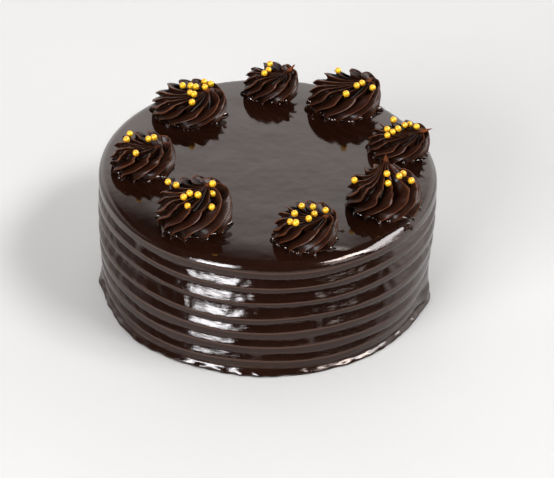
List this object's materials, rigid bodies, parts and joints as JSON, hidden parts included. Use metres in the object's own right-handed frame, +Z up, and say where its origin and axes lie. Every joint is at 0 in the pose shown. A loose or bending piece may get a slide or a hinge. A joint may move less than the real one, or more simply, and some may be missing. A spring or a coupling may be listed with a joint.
{
  "type": "bento cake",
  "caption": "Small round chocolate cake with a glazed top, a combed side and a ring of piped truffle rosettes dotted with gold sugar pearls.",
  "frame": {"origin": "middle of the cake's round underside", "axes": "+Z up through the cake, -Y towards the front of the cake, +X to the right as seen from the front"},
  "size_m": [0.1254, 0.1251, 0.0722],
  "materials": {
    "glaze": "glossy dark chocolate glaze",
    "cream": "satin piped truffle cream",
    "pearl": "pearly gold sugar coating"
  },
  "bodies": {
    "root": {"cake_body": "glaze", "rosette_back_left": "cream", "rosette_back": "cream", "rosette_back_right": "cream", "rosette_right": "cream", "rosette_front_right": "cream", "rosette_front": "cream", "rosette_front_left": "cream", "rosette_left": "cream"}
  },
  "joints": []
}
